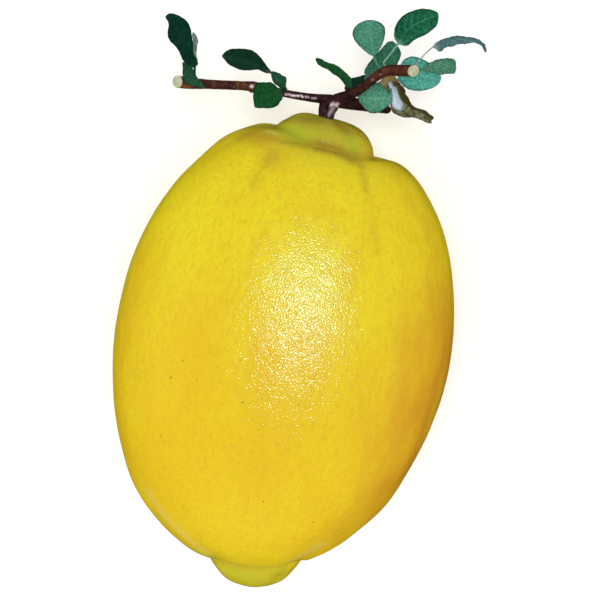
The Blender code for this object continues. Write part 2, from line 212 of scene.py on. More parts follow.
# Each cut's middle, the way it faces, the way its stain lies, and how strong the stain is.
CUTS = {
    "left_branch": ((-34.1, 56.1, 3.1), (-0.74, 0.0, 0.67), (1.0, -0.4, -0.6), 0.8),
    "right_branch": ((17.7, 68.7, 13.0), (0.40, -0.05, 0.92), (0.5, -0.8, -0.3), 0.2),
}
CUT_REACH = 6 * MM
CUT_RINGS = 11
CUT_DISH = 0.10 * MM
# How far the growth rings' wave runs from a cut's middle to its rim, in radians, and its height.
CUT_WAVES = 26.0
CUT_WAVE_HEIGHT = 0.02 * MM
# Each bud's place and radius, in mm.
BUDS = (((-17.3, 57.3, 1.8), 0.7), ((4.0, 61.6, 1.9), 0.7))
# Brushed lines that colour the bark, given as the peel's are: pale glints, which are painted
# highlights, and rust.
BARK_STROKES = {
    "painted_glints": (
        ((-17.4, 58.15, 3.0), (-17.3, 58.15, 3.0, 0.36, 1.0)),
        ((-9.5, 57.6, 1.8), (-8.4, 57.8, 1.8, 0.24, 0.9)),
        ((-8.1, 57.6, 1.7), (-6.6, 57.8, 1.6, 0.26, 1.0)),
        ((-6.0, 58.0, 1.4), (-5.6, 57.7, 1.4, 0.22, 0.7)),
        ((-4.9, 57.9, 1.3), (-4.4, 57.9, 1.3, 0.22, 0.8)),
        ((-3.6, 57.8, 1.3), (-2.6, 58.0, 1.2, 0.20, 0.4)),
        ((0.7, 57.2, 1.9), (2.4, 57.4, 1.9, 0.50, 0.60)),
        ((0.1, 56.9, 1.6), (0.0, 55.4, 1.0, 0.22, 0.45)),
        ((1.5, 56.4, 1.9), (1.1, 55.0, 1.5, 0.45, 0.45)),
        ((2.4, 56.4, 1.5), (2.1, 55.4, 1.2, 0.20, 0.35)),
        ((8.9, 64.4, 6.0), (9.2, 64.7, 6.2, 0.22, 0.6)),
        ((10.6, 66.3, 7.4), (11.2, 66.7, 7.8, 0.16, 0.5)),
    ),
    "rust": (
        ((-33.6, 55.6, 4.2), (-31.4, 55.6, 4.0, 0.9, 0.85)),
        ((-31.5, 56.6, 4.2), (-30.5, 56.6, 4.1, 0.6, 0.50)),
        ((-26.0, 57.6, 3.4), (-25.6, 56.6, 3.2, 0.3, 0.30)),
        ((-20.8, 58.5, 2.9), (-20.4, 57.5, 2.7, 0.5, 0.55)),
        ((-19.3, 58.6, 2.8), (-19.0, 57.6, 2.6, 0.4, 0.60)),
        ((-18.2, 58.7, 2.6), (-18.0, 57.8, 2.6, 0.3, 0.35)),
        ((7.6, 63.2, 5.2), (10.2, 66.4, 7.2, 0.5, 0.22)),
        ((11.2, 67.4, 8.4), (14.6, 68.6, 11.2, 0.6, 0.30)),
        ((3.4, 60.0, 3.3), (5.8, 61.7, 4.2, 0.45, 0.45)),
    ),
}
BARK_VOXEL = 0.11 * MM
BARK_SMOOTHING = 3
# How close together the points lie that tell one stem from another.
LINE_STEP = 0.2 * MM
# Relief of the bark: lumps, wrinkles across the branches and ridges along the stalks.
BARK_LUMPS = (1.1 * MM, 0.05 * MM)
WRINKLES = (0.85 * MM, 0.075 * MM)
RIDGES = (0.45 * MM, 0.12 * MM)
RIDGE_LENGTH = 3.0 * MM
# How wrinkled each branch is, and how grey each stalk's ridges are: partly grey skin and partly
# painted highlight, so the lit front stalk is paler than the shaded rear one.
WRINKLED = {"left_branch": 0.35, "right_branch": 0.8, "lower_branch": 0.9}
GREY_AND_SHEEN_SHARE = {"front_stalk": 0.55, "rear_stalk": 0.165}

# ---------------------------------------------------------------- the leaves' shapes
LEAF_ROWS = 12
LEAF_STALK_ROWS = 3
LEAF_AROUND = 64
LEAF_ALONG = 110
LEAF_THICKNESS = 0.24 * MM
SIDE_VEIN = 0.10 * MM
MIDRIB = 0.20 * MM
# A stalk is no thicker than this, in millimetres, and is sunk this far in the bark.
MOST_STALK = 0.5
STALK_SUNK = 0.35 * MM
# The least that a margin stands from the blade's middle.
LEAST_HALF = 0.12 * MM
# How far the margins' teeth move on for each radian of their wave, in millimetres, how far apart
# the ripples of the blade are, and how much the withered leaf is crumpled.
TOOTH_STEP = 0.42
RIPPLE = 3.0 * MM
CRUMPLE = 0.28 * MM
LEAF_MARKS = ("underside", "vein", "margin", "stalk")
WITHERED_MARKS = ("rim", "pale_face", "tan_base", "brown_spot")
# What a leaf is where its own record doesn't say otherwise, in millimetres and degrees.
PLAIN_LEAF = {
    "stalk": 0.5, "stalk_width": 0.5, "stalk_heading": None, "rise": 10, "roll": 0, "sweep": 0,
    "hook": 0, "fold": 8, "curl": 20, "ribs": 7, "teeth": 0.06, "wave": 0.10,
}
# Where along the blade the margins are given, from its base to its tip, and for each leaf how far
# each margin stands from the path of the midrib there, in millimetres.
MARGIN_PLACES = (0.0, 0.125, 0.25, 0.375, 0.5, 0.625, 0.75, 0.875, 0.95, 1.0)
LEAVES = {
    "tall_leaf": {
        "base": (-31.2, 57.4, 3.0), "stalk": 2.8, "stalk_heading": 62, "heading": 127,
        "rise": 15, "sweep": 24, "length": 14.1, "look": "deep_blue_green",
        "right": (1.2, 1.0, 0.8, 1.4, 2.0, 2.6, 2.75, 2.0, 1.3, 0.5),
        "left": (1.1, 1.7, 2.0, 2.0, 2.3, 2.75, 2.35, 0.95, 0.75, 0.6),
    },
    "edge_on_leaf": {
        "base": (-30.4, 57.9, 1.9), "stalk": 2.3, "stalk_width": 0.4, "heading": 103,
        "rise": -8, "roll": 35, "length": 7.8, "look": "grey_green", "wave": 0.2,
        "right": (0.5, 0.7, 0.7, 0.5, 0.6, 0.7, 1.0, 0.7, 0.4, 0.1),
        "left": (0.5, 0.5, 0.4, 0.4, 0.4, 0.4, 0.3, 0.3, 0.3, 0.2),
    },
    "left_end_leaf": {
        "base": (-28.0, 56.1, 4.3), "stalk": 0.2, "heading": 138, "rise": 21, "length": 7.7,
        "look": "dull_green",
        "right": (0.3, 0.5, 0.5, 0.35, 0.6, 0.85, 0.9, 0.6, 0.35, 0.1),
        "left": (0.5, 1.0, 1.6, 2.3, 2.5, 2.1, 1.5, 0.7, 0.3, 0.1),
    },
    "long_stalked_leaf": {
        "base": (-10.1, 59.4, 1.3), "stalk": 4.4, "stalk_heading": 140, "heading": 170,
        "rise": 12, "sweep": 36, "length": 12.3, "look": "deep_green",
        "right": (0.35, 0.55, 1.2, 1.85, 2.2, 2.0, 1.6, 1.15, 0.4, -0.3),
        "left": (0.5, 0.9, 1.1, 1.9, 2.5, 2.75, 2.55, 2.15, 1.3, 0.8),
    },
    "small_bright_leaf": {
        "base": (-9.6, 58.8, 2.0), "stalk": 0.5, "stalk_heading": 117, "heading": 140,
        "rise": 18, "length": 5.0, "look": "dull_green", "wave": 0.2,
        "right": (0.3, 0.7, 1.35, 1.65, 1.35, 1.2, 1.05, 0.7, 0.45, 0.2),
        "left": (0.5, 0.8, 0.95, 1.1, 1.2, 1.1, 0.9, 0.6, 0.3, 0.1),
    },
    "front_leaf": {
        "base": (-10.5, 59.2, 3.5), "stalk": 0.7, "heading": -135, "rise": 16, "length": 7.1,
        "look": "mid_green",
        "right": (0.8, 2.4, 3.0, 3.6, 4.1, 3.9, 3.2, 2.0, 0.9, 0.2),
        "left": (1.2, 2.0, 2.3, 2.6, 2.5, 2.2, 1.55, 0.9, 0.5, 0.2),
    },
    "narrow_leaf": {
        "base": (4.9, 61.9, 2.6), "stalk": 0.2, "heading": 149, "rise": 9, "roll": 25,
        "length": 10.4, "look": "mid_green", "wave": 0.2,
        "right": (1.3, 1.5, 1.6, 1.6, 1.55, 1.25, 0.7, 0.45, 0.2, -0.1),
        "left": (0.9, 0.7, 0.4, 0.3, 0.6, 0.5, 0.85, 1.05, 0.85, 0.5),
    },
    "shaded_leaf": {
        "base": (4.5, 61.3, 1.2), "stalk": 0.2, "heading": 37, "rise": -14, "length": 5.8,
        "look": "deep_green",
        "right": (0.8, 0.9, 0.9, 0.9, 0.9, 0.8, 0.7, 0.6, 0.5, 0.3),
        "left": (1.0, 1.9, 2.0, 1.8, 1.6, 1.5, 1.3, 1.0, 0.7, 0.4),
    },
    "tall_pale_leaf": {
        "base": (10.0, 68.0, 7.4), "stalk": 2.5, "stalk_width": 0.42, "stalk_heading": 131,
        "heading": 113, "rise": 14, "roll": 180, "length": 8.7, "look": "pale_green",
        "right": (0.4, 1.3, 2.15, 2.9, 3.4, 3.6, 3.4, 2.6, 1.6, 0.3),
        "left": (0.4, 1.35, 2.3, 3.0, 3.45, 3.65, 3.4, 2.5, 1.5, 0.3),
    },
    "top_leaf": {
        "base": (11.0, 69.2, 7.6), "stalk": 5.0, "stalk_width": 0.4, "stalk_heading": 61,
        "heading": 47, "rise": 10, "sweep": -40, "length": 11.9, "look": "bright_green",
        "right": (0.9, 2.0, 2.2, 2.5, 2.9, 3.1, 3.0, 2.7, 2.0, 0.8),
        "left": (0.6, 1.9, 2.8, 3.2, 3.2, 2.8, 2.3, 1.4, 0.7, 0.0),
    },
    "broad_rear_leaf": {
        "base": (7.6, 64.5, 3.0), "stalk": 0.2, "heading": 62, "rise": -13, "length": 10.4,
        "look": "veined_green", "wave": 0.2,
        "right": (1.8, 2.3, 2.6, 3.0, 3.4, 3.6, 3.4, 3.0, 2.0, 0.5),
        "left": (0.9, 1.3, 1.5, 1.5, 1.4, 1.3, 1.2, 1.1, 0.8, 0.3),
    },
    "arching_leaf": {
        "base": (18.2, 70.3, 11.2), "stalk": 5.3, "stalk_width": 0.3, "stalk_heading": 62,
        "heading": 2, "rise": -20, "roll": 35, "length": 15.0, "sweep": -84, "hook": -48,
        "look": "slate_green", "teeth": 0.12, "wave": 0.3,
        "right": (1.0, 2.0, 1.7, 2.0, 1.5, 1.3, 0.5, 0.4, 0.25, 0.2),
        "left": (0.9, 0.8, 0.6, 0.75, 0.6, 0.65, 0.7, 0.55, 0.35, 0.2),
    },
    "right_end_leaf": {
        "base": (19.2, 69.2, 11.2), "heading": 14, "rise": -19, "length": 8.0,
        "look": "soft_green",
        "right": (0.2, 0.6, 0.85, 1.2, 1.5, 1.4, 1.4, 1.5, 1.2, 0.4),
        "left": (0.9, 1.25, 1.4, 1.8, 1.95, 2.0, 2.0, 1.8, 1.5, 1.0),
    },
    "round_pale_leaf": {
        "base": (14.0, 68.1, 6.8), "heading": -3, "rise": -20, "roll": 180, "length": 10.6,
        "look": "aqua_green",
        "right": (1.2, 2.5, 3.3, 3.45, 3.3, 3.0, 2.4, 1.5, 0.9, 0.4),
        "left": (2.0, 2.7, 3.5, 3.9, 3.95, 3.8, 3.3, 2.55, 1.9, 0.9),
    },
    "veined_pale_leaf": {
        "base": (6.5, 60.3, 1.6), "stalk": 0.1, "heading": 1, "rise": 25, "roll": 180,
        "length": 8.7, "look": "fresh_green", "teeth": 0.12,
        "right": (0.9, 1.7, 2.6, 3.3, 3.9, 4.0, 3.8, 3.0, 1.6, 0.3),
        "left": (0.9, 1.9, 2.8, 3.3, 3.2, 2.8, 2.0, 1.0, 0.4, 0.1),
    },
    "withered_leaf": {
        "base": (12.0, 66.3, 5.6), "stalk": 0.4, "stalk_width": 3.6, "heading": -34, "rise": -28,
        "sweep": 54, "length": 17.8, "fold": 14, "curl": 55, "ribs": 9, "wave": 0.25,
        "look": "withered",
        "right": (1.8, 1.1, 1.3, 2.6, 2.3, 1.4, 0.55, 0.3, 0.2, 0.1),
        "left": (1.9, 2.1, 2.3, 1.9, 1.55, 1.3, 2.0, 1.75, 1.5, 1.3),
    },
}

# Upper side, underside, vein and stalk colours, and how strongly the veins show. The two deep
# looks are the dark upper sides of leaves that lie in shadow, and hold painted shade as well as
# their green.
LEAF_LOOKS = {
    "deep_blue_green": ((0.0006, 0.026, 0.012), (0.05, 0.16, 0.12), (0.007, 0.036, 0.034),
                        (0.012, 0.040, 0.036), 0.45),
    "deep_green": ((0.0015, 0.024, 0.010), (0.05, 0.18, 0.11), (0.008, 0.045, 0.022),
                   (0.045, 0.060, 0.065), 0.4),
    "dull_green": ((0.008, 0.052, 0.024), (0.08, 0.22, 0.15), (0.028, 0.105, 0.055),
                   (0.02, 0.08, 0.035), 0.5),
    "mid_green": ((0.004, 0.058, 0.013), (0.07, 0.22, 0.13), (0.014, 0.085, 0.024),
                  (0.01, 0.055, 0.02), 0.25),
    "grey_green": ((0.115, 0.200, 0.155), (0.15, 0.27, 0.21), (0.17, 0.26, 0.21),
                   (0.04, 0.09, 0.07), 0.5),
    "bright_green": ((0.002, 0.068, 0.024), (0.09, 0.30, 0.21), (0.038, 0.210, 0.125),
                     (0.14, 0.34, 0.21), 0.55),
    "veined_green": ((0.024, 0.125, 0.070), (0.09, 0.28, 0.20), (0.055, 0.190, 0.125),
                     (0.04, 0.14, 0.08), 0.8),
    "soft_green": ((0.042, 0.145, 0.083), (0.10, 0.32, 0.22), (0.085, 0.230, 0.150),
                   (0.05, 0.17, 0.10), 0.6),
    "slate_green": ((0.045, 0.128, 0.128), (0.12, 0.24, 0.25), (0.095, 0.145, 0.175),
                    (0.30, 0.31, 0.33), 0.5),
    "pale_green": ((0.02, 0.13, 0.07), (0.032, 0.168, 0.100), (0.085, 0.260, 0.175),
                   (0.06, 0.19, 0.11), 0.6),
    "fresh_green": ((0.02, 0.13, 0.07), (0.048, 0.205, 0.128), (0.115, 0.320, 0.225),
                    (0.06, 0.22, 0.13), 0.8),
    "aqua_green": ((0.02, 0.13, 0.08), (0.050, 0.262, 0.208), (0.105, 0.370, 0.300),
                   (0.08, 0.26, 0.20), 0.5),
}

# ---------------------------------------------------------------- light and camera
SKY_STRENGTH = 0.94
CAMERA_TILT = math.radians(9.0)
CAMERA_LEAN = math.radians(10.3)
CAMERA_TARGET = (2.020, 11.540, 0.052)
CAMERA_DISTANCE = 0.6
CAMERA_LENS = 156.454


# ---------------------------------------------------------------- making pieces
def over_axis(point):
    """A point given in millimetres, with its height over the fruit's axis, in metres."""
    return Vector((point[0] * MM, point[1] * MM, point[2] * MM + AXIS_HEIGHT))


def smooth_step(value):
    value = max(0.0, min(1.0, value))
    return value * value * (3.0 - 2.0 * value)


def between(value, low, high):
    """0 below low, 1 over high, and smooth between them."""
    return smooth_step((value - low) / (high - low))


def hump(distance, width):
    """1 at no distance, falling smoothly to nothing a few widths away."""
    return math.exp(-((distance / width) ** 2))


def glide(start, leaving, end, arriving, t):
    """A smooth way from start to end with the given slopes at both, at a share t of it."""
    cube, square = t * t * t, t * t
    return (start * (2 * cube - 3 * square + 1) + leaving * (cube - 2 * square + t)
            + end * (3 * square - 2 * cube) + arriving * (cube - square))


def new_object(name, data):
    made = bpy.data.objects.new(name, data)
    bpy.context.scene.collection.objects.link(made)
    return made


def finished_mesh(made):
    """The object's shape after its bevel or modifiers, as a mesh. The object goes."""
    bpy.context.view_layer.update()
    graph = bpy.context.evaluated_depsgraph_get()
    mesh = bpy.data.meshes.new_from_object(made.evaluated_get(graph))
    bpy.data.objects.remove(made, do_unlink=True)
    return mesh


def float_layers(bm, *names):
    return [bm.verts.layers.float.new(name) for name in names]


def verts_with_normals(bm):
    """Each point of the bmesh with the way its surface faces there before any point moves."""
    bm.normal_update()
    return [(vert, vert.normal.copy()) for vert in bm.verts]


def lump(place, lumps):
    """The height of lumps, given as a spacing and a height, at a place."""
    spacing, height = lumps
    return height * noise.noise(place / spacing)


def piece_from(bm, name, materials=(), solid=None):
    """A smooth piece that holds the bmesh. With a solid it rides on the fruit and stands for it."""
    mesh = bpy.data.meshes.new(name)
    bm.to_mesh(mesh)
    bm.free()
    mesh.shade_smooth()
    for material in materials:
        mesh.materials.append(material)
    piece = new_object(name, mesh)
    if solid:
        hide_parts(solid)
        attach(piece, "root")
    return piece


def brushed(place, strokes):
    """How strongly the strokes colour a place, as the strongest of them does."""
    strongest = 0.0
    for start, span, width, strength in strokes:
        along = max(0.0, min(1.0, (place - start).dot(span) / span.length_squared))
        away = (place - start - span * along).length / width
        if away < FADED:
            strongest = max(strongest, strength * hump(away, 1.0))
    return strongest


def stroke_layers(bm, brushes):
    """An attribute for each brush, with its strokes ready to be measured against."""
    spans = [[(over_axis(first), over_axis(last) - over_axis(first), last[3] * MM, last[4])
              for line in lines for first, last in zip(line, line[1:])]
             for lines in brushes.values()]
    return list(zip(float_layers(bm, *brushes), spans))


# ---------------------------------------------------------------- shader building
def give(tree, node, inputs):
    """Sets inputs of a node, or joins them to other nodes, by name or number."""
    for key, value in inputs.items():
        if isinstance(value, bpy.types.NodeSocket):
            tree.links.new(value, node.inputs[key])
        elif isinstance(value, tuple) and node.inputs[key].type == "RGBA":
            node.inputs[key].default_value = (*value, 1.0)
        else:
            node.inputs[key].default_value = value


def add_node(tree, kind, inputs=None, **settings):
    """A shader node with its settings and its inputs."""
    made = tree.nodes.new(kind)
    for key, value in settings.items():
        setattr(made, key, value)
    give(tree, made, inputs or {})
    return made


def mix_colour(tree, factor, first, second, blend="MIX"):
    made = add_node(tree, "ShaderNodeMix", {0: factor, 6: first, 7: second},
                    data_type="RGBA", blend_type=blend)
    return made.outputs[2]


def maths(tree, operation, first, second=0.0):
    return add_node(tree, "ShaderNodeMath", {0: first, 1: second}, operation=operation).outputs[0]


def times(tree, value, *others):
    for other in others:
        value = maths(tree, "MULTIPLY", value, other)
    return value


def plus(tree, value, *others):
    for other in others:
        value = maths(tree, "ADD", value, other)
    return value


def ramp(tree, value, low, high, to_low=0.0, to_high=1.0):
    """A smooth rise or fall of the value between low and high."""
    made = add_node(tree, "ShaderNodeMapRange",
                    {"Value": value, "From Min": low, "From Max": high,
                     "To Min": to_low, "To Max": to_high}, interpolation_type="SMOOTHSTEP")
    return made.outputs["Result"]


def mottled(tree, pattern, low, high, first, second):
    """The first colour where the pattern is below low, and the second where it is over high."""
    return mix_colour(tree, ramp(tree, pattern, low, high), first, second)


def coated(tree, colour, *coats):
    """The colour under coats of others, each given with its share, the last on top."""
    for share, coat in coats:
        colour = mix_colour(tree, share, colour, coat)
    return colour


def grained(tree, colour, shade):
    """The colour made darker or paler by a value around 1."""
    grey = add_node(tree, "ShaderNodeCombineColor", {0: shade, 1: shade, 2: shade})
    return mix_colour(tree, 1.0, colour, grey.outputs[0], "MULTIPLY")


def attribute(tree, name):
    return add_node(tree, "ShaderNodeAttribute", attribute_name=name).outputs["Fac"]


def object_place(tree, stretch=(1.0, 1.0, 1.0)):
    """Places on the object, stretched for a pattern."""
    coordinates = add_node(tree, "ShaderNodeTexCoord").outputs["Object"]
    return add_node(tree, "ShaderNodeMapping",
                    {"Vector": coordinates, "Scale": stretch}).outputs[0]


def noise_at(tree, place, spacing, detail=3.0, roughness=0.55):
    """A cloudy pattern from 0 to 1, whose lumps are about the spacing apart, in metres."""
    return add_node(tree, "ShaderNodeTexNoise",
                    {"Vector": place, "Scale": 1.0 / spacing, "Detail": detail,
                     "Roughness": roughness}).outputs["Fac"]


def cells_at(tree, place, spacing, feature="F1"):
    """A pattern of cells about the spacing apart, as the distance to their middles or edges."""
    return add_node(tree, "ShaderNodeTexVoronoi",
                    {"Vector": place, "Scale": 1.0 / spacing}, feature=feature).outputs["Distance"]


def new_material(name):
    material = bpy.data.materials.new(name)
    material.use_nodes = True
    tree = material.node_tree
    return material, tree, tree.nodes["Principled BSDF"]


def new_group(name, inputs, outputs):
    """A node group with its sockets, as (group, inner input node, inner output node)."""
    group = bpy.data.node_groups.new(name, "ShaderNodeTree")
    for label, kind, default in inputs:
        made = group.interface.new_socket(name=label, in_out="INPUT", socket_type=kind)
        made.default_value = (*default, 1.0) if isinstance(default, tuple) else default
    for label, kind in outputs:
        group.interface.new_socket(name=label, in_out="OUTPUT", socket_type=kind)
    return group, group.nodes.new("NodeGroupInput"), group.nodes.new("NodeGroupOutput")


def finish(tree, shader, colour, roughness, gloss, relief=None, depth=0.0):
    """The surface's colour, how rough and how strong its gloss is, and a relief of a depth."""
    give(tree, shader, {"Base Color": colour, "Roughness": roughness, "Specular IOR Level": gloss})
    if relief is not None:
        bumps = add_node(tree, "ShaderNodeBump", {"Height": relief, "Distance": depth})
        tree.links.new(bumps.outputs["Normal"], shader.inputs["Normal"])


# ---------------------------------------------------------------- finishes
def speck_mask(tree, specks):
    """1 inside each small speck, given as a place over the axis and a radius, in mm."""
    place = add_node(tree, "ShaderNodeTexCoord").outputs["Object"]
    mask = None
    for x, y, height, radius in specks:
        distance = add_node(tree, "ShaderNodeVectorMath",
                            {0: place, 1: over_axis((x, y, height))}, operation="DISTANCE")
        spot = ramp(tree, distance.outputs["Value"],
                    radius * 0.5 * MM, radius * 1.6 * MM, 1.0, 0.0)
        mask = spot if mask is None else maths(tree, "MAXIMUM", mask, spot)
    return mask


def ripe_and_shade_share(tree, around, y, cloud):
    """How strongly the orange-brown shows at an angle round the axis and a place along it: most on
    one side, partly as ripeness and partly as painted shade of that side.
    """
    reach = ramp(tree, plus(tree, around, times(tree, cloud, 0.35)),
                 math.radians(30), math.radians(86))
    back = ramp(tree, around, math.radians(115), math.radians(160), 1.0, 0.0)
    length = times(tree, ramp(tree, y, -46 * MM, -22 * MM),
                   ramp(tree, y, -6 * MM, 42 * MM, 1.0, 0.2))
    return times(tree, reach, back, length, ramp(tree, cloud, 0.30, 0.60, 0.55, 1.0))


def make_peel_material():
    material, tree, shader = new_material("peel")
    place = object_place(tree)
    streaks = object_place(tree, stretch=(1.0, 0.35, 1.0))
    split = add_node(tree, "ShaderNodeSeparateXYZ", {0: place})
    x, y, z = (split.outputs[axis] for axis in "XYZ")
    around = maths(tree, "ARCTAN2", x, maths(tree, "SUBTRACT", z, AXIS_HEIGHT))
    broad = noise_at(tree, streaks, 22 * MM)
    cloud = noise_at(tree, streaks, 7 * MM, detail=5.0)
    fine = noise_at(tree, streaks, 1.0 * MM, detail=4.0, roughness=0.65)

    # Lemon yellow towards the stem, more golden towards the nipple, with deeper patches.
    golden = ramp(tree, y, 30 * MM, 0.0)
    yellow = mix_colour(tree, golden, (0.700, 0.590, 0.004), (0.690, 0.510, 0.004))
    deeper = mix_colour(tree, golden, (0.690, 0.545, 0.004), (0.675, 0.450, 0.004))
    yellow = coated(
        tree, mottled(tree, broad, 0.35, 0.65, yellow, deeper),
        (ramp(tree, cloud, 0.48, 0.70, 0.0, 0.42), (0.655, 0.415, 0.004)),
        (ramp(tree, fine, 0.40, 0.70, 0.0, 0.50), (0.610, 0.395, 0.006)),
    )

    # Greener at both ends, and orange-brown on one side, partly as ripeness and partly as painted
    # shade.
    stem_end = ramp(tree, plus(tree, y, times(tree, cloud, 7 * MM)), 46 * MM, 57 * MM)
    tip_end = ramp(tree, maths(tree, "SUBTRACT", y, times(tree, cloud, 5 * MM)),
                   -47 * MM, -57 * MM)
    yellow = coated(
        tree, yellow,
        (stem_end, (0.42, 0.37, 0.020)),
        (tip_end, (0.46, 0.40, 0.012)),
        (ripe_and_shade_share(tree, around, y, cloud), (0.52, 0.215, 0.008)),
    )

    # Brushed colours, among them painted shade and painted sheen, a painted shade along the
    # creases, oil glands and tiny specks.
    worn = ramp(tree, fine, 0.25, 0.65, 0.65, 1.0)
    for name, tint in PEEL_TINTS.items():
        yellow = coated(tree, yellow, (times(tree, attribute(tree, name), worn), tint))
    glands = cells_at(tree, place, 1.3 * MM)
    yellow = coated(
        tree, yellow,
        # Painted shade along the creases round both ends.
        (times(tree, attribute(tree, "painted_crease_shade"), 0.25), (0.24, 0.150, 0.012)),
        (ramp(tree, glands, 0.08, 0.38, 0.26, 0.0), (0.46, 0.27, 0.006)),
        (speck_mask(tree, SPECKS), (0.12, 0.07, 0.015)),
    )

    # Small domes, a fine grain and soft ripples, which break the gloss into fine dots.
    domes = cells_at(tree, place, GLOSS_DOMES[0])
    domes = times(tree, domes, domes, GLOSS_DOMES[1])
    grain = times(tree, noise_at(tree, place, GLOSS_GRAIN[0], detail=1.0), GLOSS_GRAIN[1])
    ripples = times(tree, noise_at(tree, place, GLOSS_RIPPLES[0], detail=2.0), GLOSS_RIPPLES[1])
    finish(tree, shader, yellow, 0.21, 1.0, plus(tree, domes, grain, ripples), GLOSS_RELIEF)
    return material


def make_leaf_group():
    """The finish that every living leaf shares: two sides, veins, mottling and a fine net."""
    colour, value = "NodeSocketColor", "NodeSocketFloat"
    group, given, result = new_group(
        "leaf_surface",
        (("Upper", colour, (0.0, 0.1, 0.0)), ("Underside", colour, (0.1, 0.3, 0.2)),
         ("Vein", colour, (0.1, 0.3, 0.2)), ("Stalk", colour, (0.1, 0.3, 0.2)),
         ("Vein Strength", value, 0.3)),
        (("Colour", colour), ("Roughness", value), ("Height", value)),
    )
    upper, underside, vein, stalk, strength = (
        given.outputs[label] for label in ("Upper", "Underside", "Vein", "Stalk", "Vein Strength"))
    place = object_place(group)
    cloud = noise_at(group, place, 2.2 * MM, detail=4.0)
    grain = noise_at(group, place, 0.50 * MM, detail=3.0)
    net = cells_at(group, place, 0.75 * MM, feature="DISTANCE_TO_EDGE")
    net = ramp(group, net, 0.02, 0.16, 1.0, 0.0)
    under = attribute(group, "underside")

    upper = coated(group, upper, (ramp(group, cloud, 0.40, 0.72, 0.0, 0.35), vein))
    lower = coated(group, underside, (ramp(group, cloud, 0.30, 0.75, 0.0, 0.5), vein))
    leaf = coated(
        group, mix_colour(group, under, upper, lower),
        (times(group, strength, 0.30, net), vein),
        (times(group, attribute(group, "vein"), strength), vein),
    )
    shaded = mix_colour(group, 1.0, leaf, (0.30, 0.36, 0.36), "MULTIPLY")
    leaf = coated(
        group, leaf,
        (attribute(group, "margin"), shaded),
        (attribute(group, "stalk"), stalk),
    )
    leaf = grained(group, leaf, ramp(group, grain, 0.32, 0.68, 0.68, 1.28))
    rough = add_node(group, "ShaderNodeMapRange", {"Value": under, "To Min": 0.27, "To Max": 0.50})
    give(group, result, {
        "Colour": leaf,
        "Roughness": plus(group, rough.outputs[0], times(group, grain, 0.12)),
        "Height": maths(group, "SUBTRACT", grain, times(group, net, 0.9)),
    })
    return group


def make_leaf_material(look, group):
    upper, underside, vein, stalk, strength = LEAF_LOOKS[look]
    material, tree, shader = new_material(look)
    made = add_node(tree, "ShaderNodeGroup",
                    {"Upper": upper, "Underside": underside, "Vein": vein, "Stalk": stalk,
                     "Vein Strength": strength}, node_tree=group).outputs
    finish(tree, shader, made["Colour"], made["Roughness"], 0.07, made["Height"], 0.02 * MM)
    return material


def make_withered_material():
    material, tree, shader = new_material("withered_blade")
    place = object_place(tree)
    cloud = noise_at(tree, place, 1.6 * MM, detail=4.0)
    grain = noise_at(tree, place, 0.3 * MM, detail=3.0)
    wrinkles = noise_at(tree, place, 0.6 * MM, detail=4.0)
    olive = mottled(tree, cloud, 0.3, 0.7, (0.095, 0.108, 0.042), (0.225, 0.240, 0.135))
    colour = coated(
        tree, mottled(tree, wrinkles, 0.40, 0.58, (0.060, 0.055, 0.020), olive),
        (attribute(tree, "rim"), (0.050, 0.042, 0.010)),
        (attribute(tree, "pale_face"), (0.50, 0.59, 0.72)),
        (attribute(tree, "tan_base"), (0.25, 0.185, 0.072)),
        (times(tree, attribute(tree, "vein"), 0.35), (0.16, 0.13, 0.06)),
        (attribute(tree, "brown_spot"), (0.055, 0.026, 0.010)),
    )
    colour = grained(tree, colour, ramp(tree, grain, 0.3, 0.7, 0.8, 1.15))
    finish(tree, shader, colour, 0.7, 0.12, plus(tree, grain, cloud), 0.05 * MM)
    return material


def make_bark_material():
    material, tree, shader = new_material("bark")
    place = object_place(tree)
    warmth = attribute(tree, "warmth")
    cloud = noise_at(tree, place, 1.8 * MM, detail=4.0)
    grain = noise_at(tree, place, 0.28 * MM, detail=3.0)
    patchy = ramp(tree, noise_at(tree, place, 0.5 * MM), 0.35, 0.60, 0.35, 1.0)
    cork = ramp(tree, cells_at(tree, place, 1.3 * MM), 0.10, 0.20, 1.0, 0.0)
    cork = times(tree, cork, warmth)
    purple = mottled(tree, cloud, 0.3, 0.7, (0.012, 0.0026, 0.0036), (0.044, 0.010, 0.012))
    red_brown = mottled(tree, cloud, 0.35, 0.7, (0.032, 0.0075, 0.0075), (0.078, 0.023, 0.011))
    colour = coated(
        tree, mix_colour(tree, warmth, purple, red_brown),
        (attribute(tree, "wrinkle"), (0.020, 0.006, 0.004)),
        (times(tree, cork, 0.8), (0.20, 0.085, 0.025)),
        (times(tree, attribute(tree, "rust"), patchy), (0.210, 0.075, 0.018)),
        # Grey ridges on the stalks, partly painted highlight.
        (attribute(tree, "grey_skin_and_sheen"), (0.17, 0.11, 0.12)),
        # Painted highlights: pale glints along the thin twig, on the stalk's cap and on the node.
        (times(tree, attribute(tree, "painted_glints"), 1.4, patchy), (0.72, 0.60, 0.62)),
    )
    polish = noise_at(tree, object_place(tree, stretch=(0.5, 1.0, 1.0)), 0.9 * MM, detail=3.0)
    rough = ramp(tree, polish, 0.50, 0.62, 0.80, 0.22)
    finish(tree, shader, colour, rough, 0.10, plus(tree, grain, cork), 0.03 * MM)
    return material


